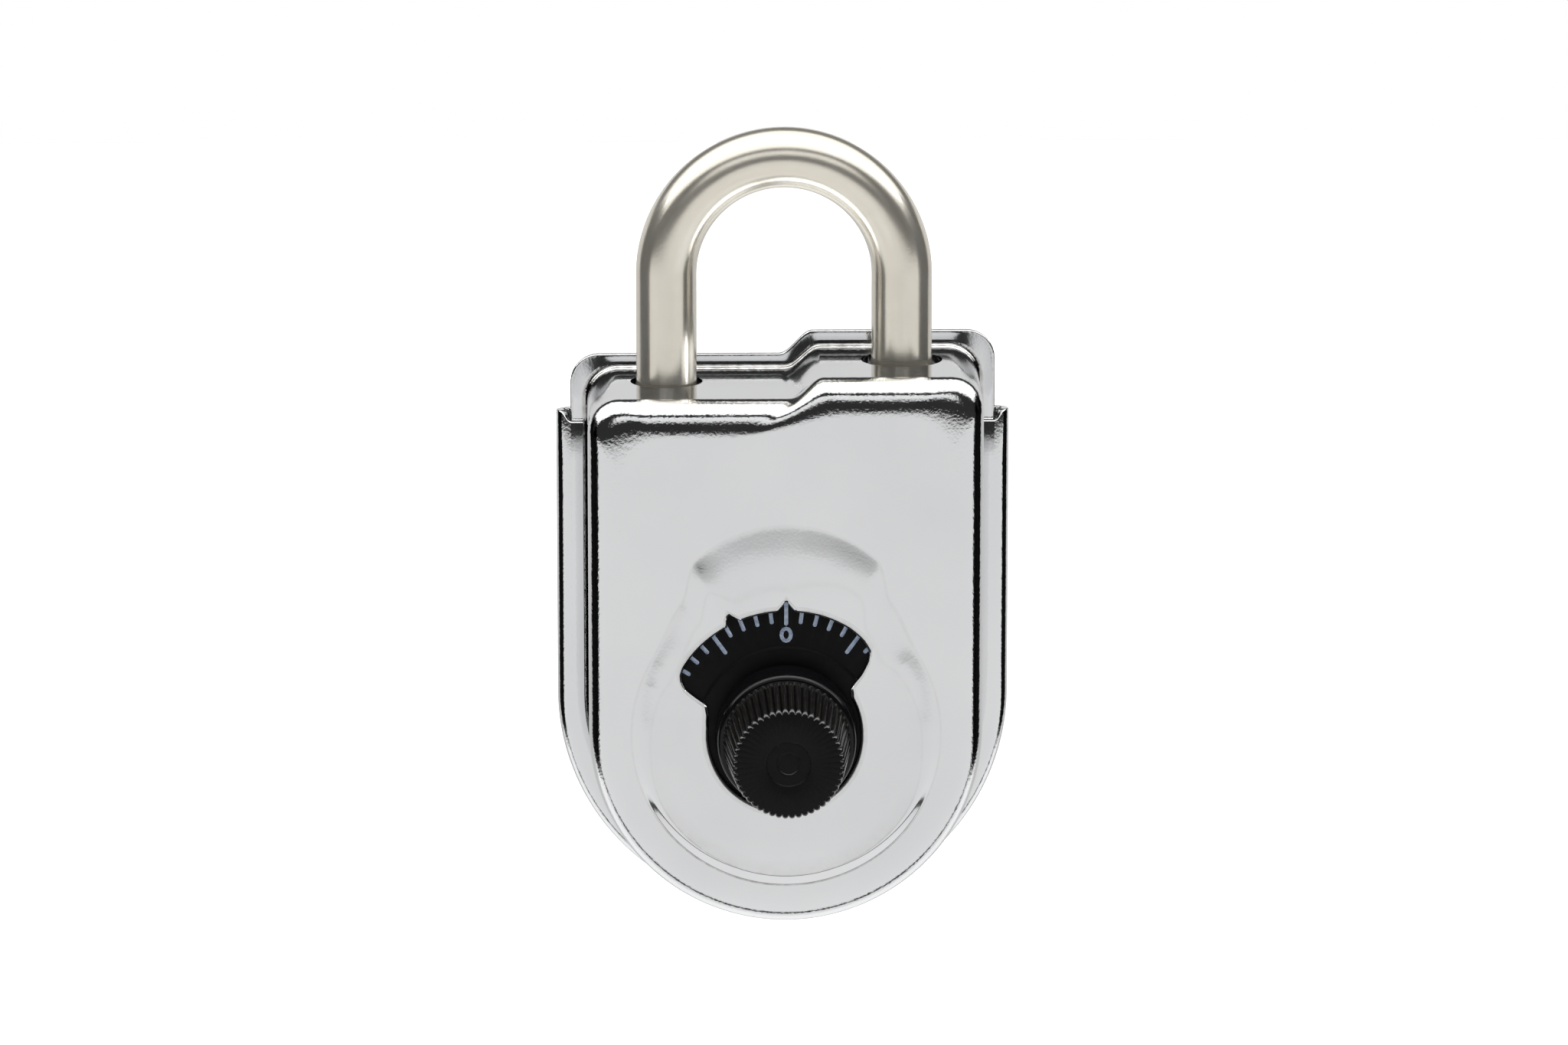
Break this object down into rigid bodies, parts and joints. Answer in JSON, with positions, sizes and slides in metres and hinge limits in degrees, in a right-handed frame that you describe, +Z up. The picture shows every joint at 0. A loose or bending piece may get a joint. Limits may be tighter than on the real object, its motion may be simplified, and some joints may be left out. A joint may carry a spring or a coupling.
{
  "type": "combination padlock",
  "caption": "Combination padlock: steel shackle over a chrome drawn case with a stepped top, a black dial with a knurled knob in a fan window, and a slide-off back cover.",
  "frame": {"origin": "where the dial axis meets the flat back face of the back cover", "axes": "+Z up along the shackle, +Y out of the back face, +X to the right as the dial is read; the dial faces -Y"},
  "size_m": [0.06, 0.0438, 0.1077],
  "materials": {
    "case_chrome": "bright chrome plate",
    "cover_chrome": "bright chrome plate",
    "shackle_nickel": "satin nickel plate",
    "dial_black": "gloss black with painted white marks",
    "plated_steel": "zinc plated",
    "brass": "stamped",
    "spring_steel": "oiled",
    "hard_steel": "hardened, black oxide",
    "cast_zinc": "as cast"
  },
  "bodies": {
    "case": {"front_case": "case_chrome", "front_plate": "plated_steel", "inner_back_plate": "plated_steel", "wheel_post": "plated_steel", "bolt_guide_pin_1": "plated_steel", "bolt_guide_pin_2": "plated_steel", "shackle_stop_pin": "plated_steel", "bolt_spring_stop": "plated_steel", "cover_spring_rivet": "plated_steel", "frame_pillar_1": "plated_steel", "frame_pillar_2": "plated_steel", "frame_pillar_3": "plated_steel", "frame_pillar_4": "plated_steel", "frame_screw_1": "plated_steel", "frame_screw_2": "plated_steel", "frame_screw_3": "plated_steel", "frame_screw_4": "plated_steel", "weld_nut_1": "plated_steel", "weld_nut_2": "plated_steel", "weld_nut_3": "plated_steel", "weld_nut_4": "plated_steel", "dial_bushing": "brass", "spacer_washer_1": "brass", "spacer_washer_2": "brass", "shackle_spring": "spring_steel", "bolt_spring": "spring_steel", "cover_spring": "spring_steel", "retaining_ring": "spring_steel", "tension_washer": "spring_steel", "drill_shield": "hard_steel", "heel_guide": "cast_zinc", "toe_guide": "cast_zinc", "spring_seat": "cast_zinc"},
    "back_cover": {"back_cover": "cover_chrome"},
    "shackle": {"shackle": "shackle_nickel"},
    "bolt": {"locking_bolt": "plated_steel"},
    "dial": {"dial": "dial_black", "spindle": "plated_steel", "spline_key": "plated_steel", "drive_cam": "brass", "cam_drive_pin": "plated_steel"},
    "wheel_1": {"wheel_1": "brass", "wheel_1_hub": "brass"},
    "wheel_2": {"wheel_2": "brass", "wheel_2_hub": "brass", "wheel_2_drive_pin": "plated_steel"},
    "wheel_3": {"wheel_3": "brass", "wheel_3_hub": "brass", "wheel_3_drive_pin": "plated_steel"}
  },
  "joints": [
    {"name": "cover_slide", "type": "slide", "parent": "case", "child": "back_cover", "axis": [0, 0, -1], "range_m": [0, 0.076]},
    {"name": "shackle_lift", "type": "slide", "parent": "case", "child": "shackle", "axis": [0, 0, 1], "range_m": [0, 0.013], "deforming": ["shackle_spring"]},
    {"name": "bolt_slide", "type": "slide", "parent": "case", "child": "bolt", "axis": [1, 0, 0], "range_m": [0, 0.0052], "deforming": ["bolt_spring"]},
    {"name": "dial_turn", "type": "hinge", "parent": "case", "child": "dial", "pos_m": [0, -0.027, 0], "axis": [0, 1, 0], "continuous": true},
    {"name": "wheel_1_turn", "type": "hinge", "parent": "case", "child": "wheel_1", "pos_m": [0, -0.0196, 0], "axis": [0, 1, 0], "range_deg": [-360, 360]},
    {"name": "wheel_2_turn", "type": "hinge", "parent": "case", "child": "wheel_2", "pos_m": [0, -0.0158, 0], "axis": [0, 1, 0], "range_deg": [-360, 360]},
    {"name": "wheel_3_turn", "type": "hinge", "parent": "case", "child": "wheel_3", "pos_m": [0, -0.012, 0], "axis": [0, 1, 0], "range_deg": [-360, 360]}
  ],
  "couplings": [
    {"joint": "bolt_slide", "follows": "shackle_lift", "ratio": 0.4}
  ]
}
